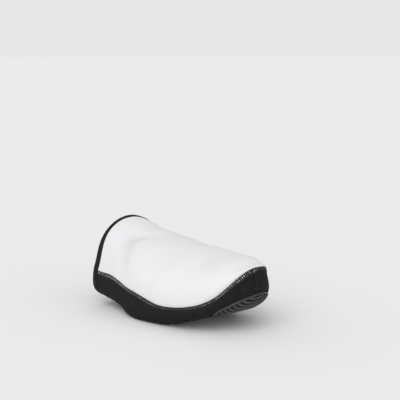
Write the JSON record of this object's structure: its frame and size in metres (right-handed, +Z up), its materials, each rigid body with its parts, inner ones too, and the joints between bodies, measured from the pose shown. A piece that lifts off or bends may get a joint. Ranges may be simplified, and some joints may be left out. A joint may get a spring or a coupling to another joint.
{
  "type": "cycling toe cover",
  "caption": "Pull-on toe cover for a road cycling shoe: white arched upper panel over a black rand, bound rear opening, cleat opening in the sole and a ribbed rubber toe pad.",
  "frame": {"origin": "middle of the bounding box in plan, on the surface that the sole rests on", "axes": "+X to the toe, +Y to the big-toe (medial) side, +Z up"},
  "size_m": [0.1742, 0.0962, 0.0827],
  "materials": {
    "white_laminate": "smooth matt coated cloth",
    "black_cloth": "fine woven, matt",
    "black_rubber": "matt, moulded ribs",
    "black_tape": "ribbed elastic tape, matt",
    "reflective_thread": "grey reflective thread"
  },
  "bodies": {
    "root": {"upper_panel": "white_laminate", "rand_lateral": "black_cloth", "rand_medial": "black_cloth", "sole_panel": "black_cloth", "toe_pad": "black_rubber", "opening_binding": "black_tape"}
  },
  "joints": []
}
